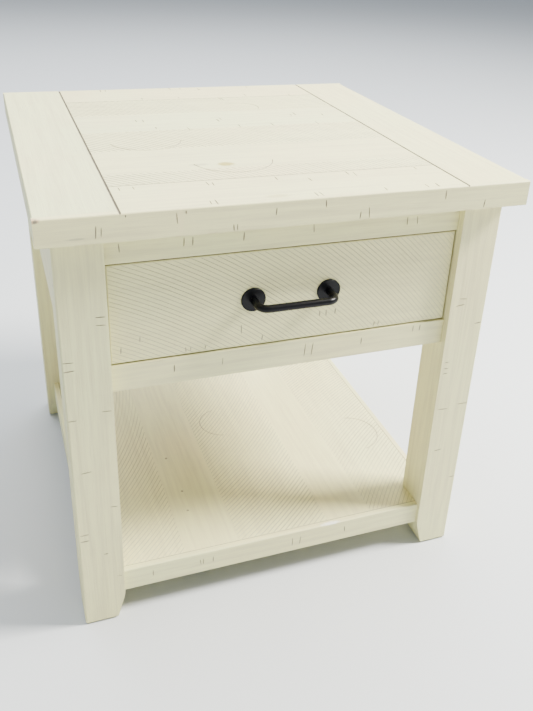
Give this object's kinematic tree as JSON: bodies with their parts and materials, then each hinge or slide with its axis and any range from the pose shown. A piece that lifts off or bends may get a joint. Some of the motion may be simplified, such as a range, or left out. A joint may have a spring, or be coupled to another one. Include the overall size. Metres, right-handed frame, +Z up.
{
  "type": "side table with drawer",
  "caption": "Square farmhouse side table with tapered block feet, a planked top, an inset drawer on telescopic slides with a round-bar pull, and a low open shelf.",
  "frame": {"origin": "on the floor under the middle of the table top", "axes": "+X to the right seen from the front, +Y to the back, +Z up; the drawer opens towards -Y"},
  "size_m": [0.61, 0.612, 0.614],
  "materials": {
    "painted_pine": "creamy white brushed paint over distressed pine, low sheen",
    "bare_pine": "planed softwood, clear sealed",
    "plywood": "birch plywood, sanded",
    "black_metal": "black powder coat, satin",
    "slide_steel": "zinc plated rolled steel",
    "zinc_screws": "zinc plated",
    "nylon": "moulded nylon"
  },
  "bodies": {
    "frame": {"apron_back": "painted_pine", "apron_left": "painted_pine", "apron_right": "painted_pine", "cleat_left": "bare_pine", "cleat_right": "bare_pine", "foot_glides": "nylon", "leg_back_left": "painted_pine", "leg_back_right": "painted_pine", "leg_front_left": "painted_pine", "leg_front_right": "painted_pine", "rail_front_bottom": "painted_pine", "rail_front_top": "painted_pine", "shelf_batten": "bare_pine", "shelf_board_1": "painted_pine", "shelf_board_2": "painted_pine", "shelf_board_3": "painted_pine", "shelf_board_4": "painted_pine", "shelf_board_5": "painted_pine", "shelf_rail_back": "painted_pine", "shelf_rail_front": "painted_pine", "shelf_rail_left": "painted_pine", "shelf_rail_right": "painted_pine", "slide_bearer_left": "bare_pine", "slide_bearer_right": "bare_pine", "slide_left_cabinet": "slide_steel", "slide_right_cabinet": "slide_steel", "slide_screws_cabinet": "zinc_screws", "top_board_centre_1": "painted_pine", "top_board_centre_2": "painted_pine", "top_board_centre_3": "painted_pine", "top_board_centre_4": "painted_pine", "top_board_centre_5": "painted_pine", "top_board_front": "painted_pine", "top_board_left": "painted_pine", "top_board_rear": "painted_pine", "top_board_right": "painted_pine", "top_lipping_back": "painted_pine", "top_lipping_front": "painted_pine", "top_screws": "zinc_screws", "top_tongue_left": "bare_pine", "top_tongue_right": "bare_pine"},
    "drawer": {"drawer_bottom": "plywood", "drawer_box_back": "bare_pine", "drawer_box_front": "bare_pine", "drawer_face": "painted_pine", "drawer_face_screws": "zinc_screws", "drawer_side_left": "bare_pine", "drawer_side_right": "bare_pine", "pull_bar": "black_metal", "pull_rosettes": "black_metal", "pull_screws": "zinc_screws", "slide_left_drawer": "slide_steel", "slide_right_drawer": "slide_steel", "slide_screws_drawer": "zinc_screws"},
    "slide_middle_left": {"slide_left_middle": "slide_steel"},
    "slide_middle_right": {"slide_right_middle": "slide_steel"}
  },
  "joints": [
    {"name": "drawer_slide", "type": "slide", "parent": "frame", "child": "drawer", "axis": [0, -1, 0], "range_m": [0, 0.4]},
    {"name": "left_middle_slide", "type": "slide", "parent": "frame", "child": "slide_middle_left", "axis": [0, -1, 0], "range_m": [0, 0.2]},
    {"name": "right_middle_slide", "type": "slide", "parent": "frame", "child": "slide_middle_right", "axis": [0, -1, 0], "range_m": [0, 0.2]}
  ],
  "couplings": [
    {"joint": "left_middle_slide", "follows": "drawer_slide", "ratio": 0.5},
    {"joint": "right_middle_slide", "follows": "drawer_slide", "ratio": 0.5}
  ]
}
